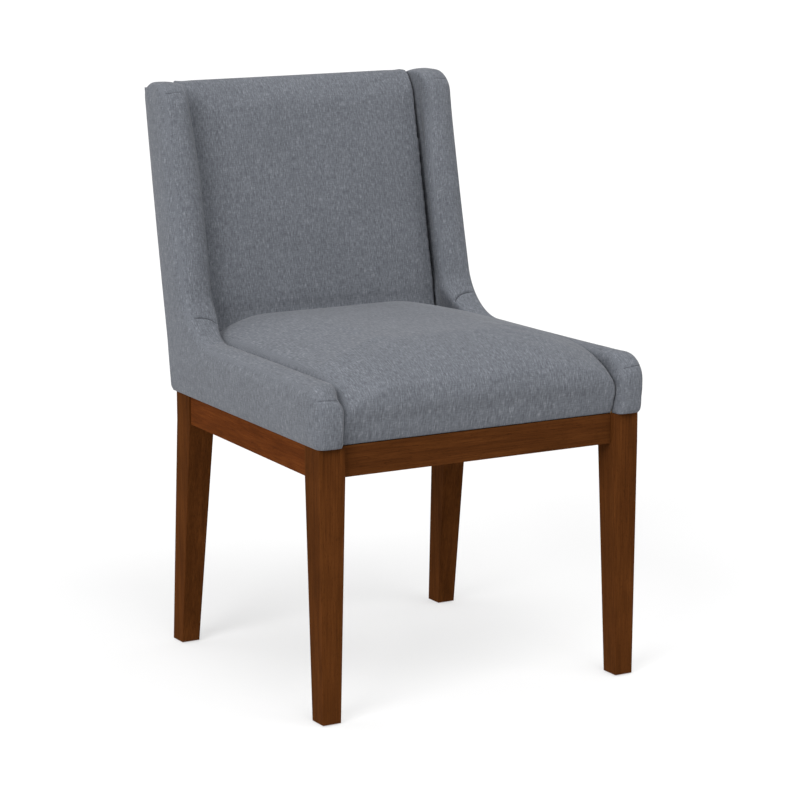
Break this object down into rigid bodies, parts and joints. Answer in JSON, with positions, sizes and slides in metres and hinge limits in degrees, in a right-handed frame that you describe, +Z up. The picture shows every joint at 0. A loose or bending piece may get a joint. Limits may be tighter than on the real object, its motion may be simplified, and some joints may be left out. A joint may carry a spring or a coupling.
{
  "type": "parsons chair",
  "caption": "Upholstered dining chair with low wing sides that sweep up into a raked back, a tight crowned seat and tapered stained wood legs.",
  "frame": {"origin": "centre of the footprint box, on the floor under the seat", "axes": "+Z up; +Y towards the back of the chair, so it faces -Y; +X to the right as seen from the front"},
  "size_m": [0.512, 0.5655, 0.8113],
  "materials": {
    "stained_wood": "satin",
    "plain_wood": "matte",
    "plywood": "matte",
    "woven_fabric": "matte",
    "foam": "matte",
    "webbing": "matte",
    "dust_cloth": "matte",
    "zinc_steel": "satin",
    "nylon": "matte"
  },
  "bodies": {
    "root": {"front_left_leg": "stained_wood", "front_right_leg": "stained_wood", "rear_left_leg": "stained_wood", "rear_right_leg": "stained_wood", "front_rail": "stained_wood", "rear_rail": "stained_wood", "left_side_rail": "stained_wood", "right_side_rail": "stained_wood", "front_left_corner_block": "plain_wood", "front_right_corner_block": "plain_wood", "rear_left_corner_block": "plain_wood", "rear_right_corner_block": "plain_wood", "seat_frame_front": "plain_wood", "seat_frame_rear": "plain_wood", "seat_frame_left": "plain_wood", "seat_frame_right": "plain_wood", "back_lower_rail": "plain_wood", "back_top_rail": "plain_wood", "left_wing_core": "plywood", "right_wing_core": "plywood", "left_wing_cover": "woven_fabric", "right_wing_cover": "woven_fabric", "seat_cover": "woven_fabric", "inside_back_cover": "woven_fabric", "outside_back_panel": "woven_fabric", "seat_foam": "foam", "back_foam": "foam", "seat_webbing_lengthwise_1": "webbing", "seat_webbing_lengthwise_2": "webbing", "seat_webbing_lengthwise_3": "webbing", "seat_webbing_lengthwise_4": "webbing", "seat_webbing_crosswise_1": "webbing", "seat_webbing_crosswise_2": "webbing", "seat_webbing_crosswise_3": "webbing", "back_webbing_1": "webbing", "back_webbing_2": "webbing", "back_webbing_3": "webbing", "dust_cover": "dust_cloth", "front_left_block_screw_end_rail": "zinc_steel", "front_left_block_screw_side_rail": "zinc_steel", "front_left_frame_bolt": "zinc_steel", "front_right_block_screw_end_rail": "zinc_steel", "front_right_block_screw_side_rail": "zinc_steel", "front_right_frame_bolt": "zinc_steel", "rear_left_block_screw_end_rail": "zinc_steel", "rear_left_block_screw_side_rail": "zinc_steel", "rear_left_frame_bolt": "zinc_steel", "rear_right_block_screw_end_rail": "zinc_steel", "rear_right_block_screw_side_rail": "zinc_steel", "rear_right_frame_bolt": "zinc_steel", "front_left_glide": "nylon", "front_right_glide": "nylon", "rear_left_glide": "nylon", "rear_right_glide": "nylon"}
  },
  "joints": []
}
